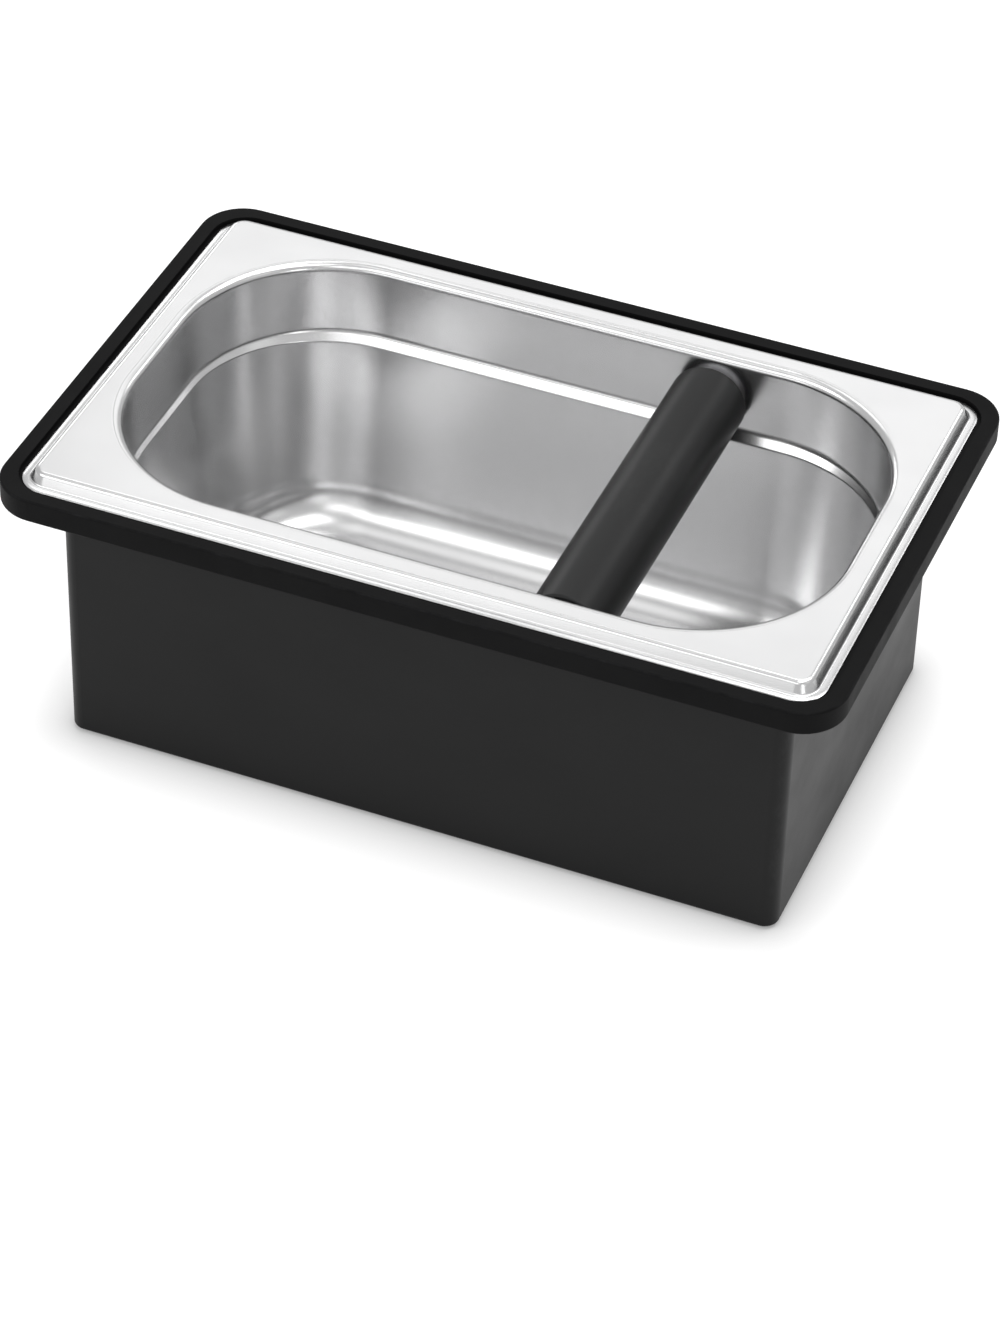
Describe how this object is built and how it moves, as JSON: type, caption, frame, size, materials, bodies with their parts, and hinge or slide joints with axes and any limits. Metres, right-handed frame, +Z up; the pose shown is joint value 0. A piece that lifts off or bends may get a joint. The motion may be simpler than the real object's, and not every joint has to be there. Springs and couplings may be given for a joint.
{
  "type": "espresso knock box",
  "caption": "Lift-out stainless pan with a rubber-sleeved knock bar across it, hung by its rim in a black box with a soft rim ring.",
  "frame": {"origin": "on the floor under the middle of the box", "axes": "+X along the long side towards the end with the knock bar, -Y to the front, +Z up"},
  "size_m": [0.279, 0.1754, 0.1069],
  "materials": {
    "case_plastic": "satin moulded black",
    "ring_rubber": "soft matte black",
    "pan_steel": "satin drawn stainless",
    "sleeve_rubber": "smooth matte black",
    "tube_steel": "drawn tube",
    "plug_aluminium": "turned",
    "screw_steel": "plain stainless",
    "foot_rubber": "matte black"
  },
  "bodies": {
    "case": {"case_body": "case_plastic", "rim_ring": "ring_rubber", "foot_front_left": "foot_rubber", "foot_front_right": "foot_rubber", "foot_back_left": "foot_rubber", "foot_back_right": "foot_rubber"},
    "pan": {"pan": "pan_steel", "bar_sleeve": "sleeve_rubber", "bar_tube": "tube_steel", "bar_plug_front": "plug_aluminium", "bar_plug_back": "plug_aluminium", "bar_screws": "screw_steel"}
  },
  "joints": [
    {"name": "pan_lift", "type": "slide", "parent": "case", "child": "pan", "axis": [0, 0, 1], "range_m": [0, 0.105]}
  ]
}
